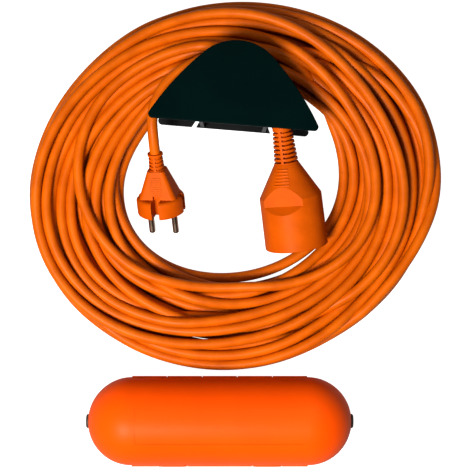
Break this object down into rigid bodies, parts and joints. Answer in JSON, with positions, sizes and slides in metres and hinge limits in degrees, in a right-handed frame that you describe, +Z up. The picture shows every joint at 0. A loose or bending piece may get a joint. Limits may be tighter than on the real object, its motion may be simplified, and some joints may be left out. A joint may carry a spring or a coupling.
{
  "type": "extension cord",
  "caption": "Coiled two-core extension cord with plug and shuttered socket, wall hanger for the coil and a hinged capsule box that covers a plugged joint.",
  "frame": {"origin": "middle of the whole set's footprint, on the surface that it lies on", "axes": "+Z up from that surface, +X along the box, +Y from the box towards the hanger's crown"},
  "size_m": [0.3196, 0.3562, 0.0678],
  "materials": {
    "cord_sheath": "satin vulcanised rubber, orange",
    "connector_rubber": "fine matt moulded rubber, orange",
    "core_brown": "brown insulation",
    "core_blue": "blue insulation",
    "pin_nickel": "polished nickel on brass",
    "bridge_plastic": "black insulator",
    "face_plastic": "orange insulator",
    "carrier_plastic": "off-white insulator",
    "contact_brass": "plain brass",
    "shutter_plastic": "black insulator",
    "spring_steel": "plain spring wire",
    "bracket_plastic": "black, fine texture",
    "plate_plastic": "very dark green, smooth",
    "shell_plastic": "orange, low sheen",
    "pin_steel": "plain ground pin",
    "seal_rubber": "grey-brown soft rubber"
  },
  "bodies": {
    "set": {"cord_coil": "cord_sheath", "cord_plug_tail": "cord_sheath", "cord_socket_tail": "cord_sheath", "cord_plug_end": "cord_sheath", "cord_socket_end": "cord_sheath", "plug_body": "connector_rubber", "plug_bridge": "bridge_plastic", "socket_body": "connector_rubber", "socket_face": "face_plastic", "socket_carrier": "carrier_plastic", "socket_shutter_spring": "spring_steel", "hanger_bracket": "bracket_plastic", "hanger_front_plate": "plate_plastic", "box_lower_shell": "shell_plastic", "box_hinge_pin": "pin_steel", "box_gasket_front": "seal_rubber", "box_gasket_back": "seal_rubber", "plug_pin_left": "pin_nickel", "plug_core_brown": "core_brown", "socket_contact_left": "contact_brass", "socket_core_brown": "core_brown", "box_seal_left_lower": "seal_rubber", "box_latch_pin_left": "pin_steel", "plug_pin_right": "pin_nickel", "plug_core_blue": "core_blue", "socket_contact_right": "contact_brass", "socket_core_blue": "core_blue", "box_seal_right_lower": "seal_rubber", "box_latch_pin_right": "pin_steel"},
    "socket_shutter": {"socket_shutter": "shutter_plastic"},
    "box_lid": {"box_upper_shell": "shell_plastic", "box_seal_left_upper": "seal_rubber", "box_seal_right_upper": "seal_rubber"},
    "box_latch_left": {"box_latch_left": "shell_plastic"},
    "box_latch_right": {"box_latch_right": "shell_plastic"}
  },
  "joints": [
    {"name": "shutter_slide", "type": "slide", "parent": "set", "child": "socket_shutter", "axis": [-0.3458, -0.2406, 0.9069], "range_m": [0, 0.006], "stiffness_N_per_m": 80, "springref_m": -0.004, "deforming": ["socket_shutter_spring"]},
    {"name": "box_hinge", "type": "hinge", "parent": "set", "child": "box_lid", "pos_m": [-0.01205, -0.1116, 0.0344], "axis": [-1, 0, 0], "range_deg": [0, 105]},
    {"name": "latch_left_pivot", "type": "hinge", "parent": "set", "child": "box_latch_left", "pos_m": [-0.04805, -0.1759, 0.0214], "axis": [1, 0, 0], "range_deg": [0, 60]},
    {"name": "latch_right_pivot", "type": "hinge", "parent": "set", "child": "box_latch_right", "pos_m": [0.02395, -0.1759, 0.0214], "axis": [1, 0, 0], "range_deg": [0, 60]}
  ]
}
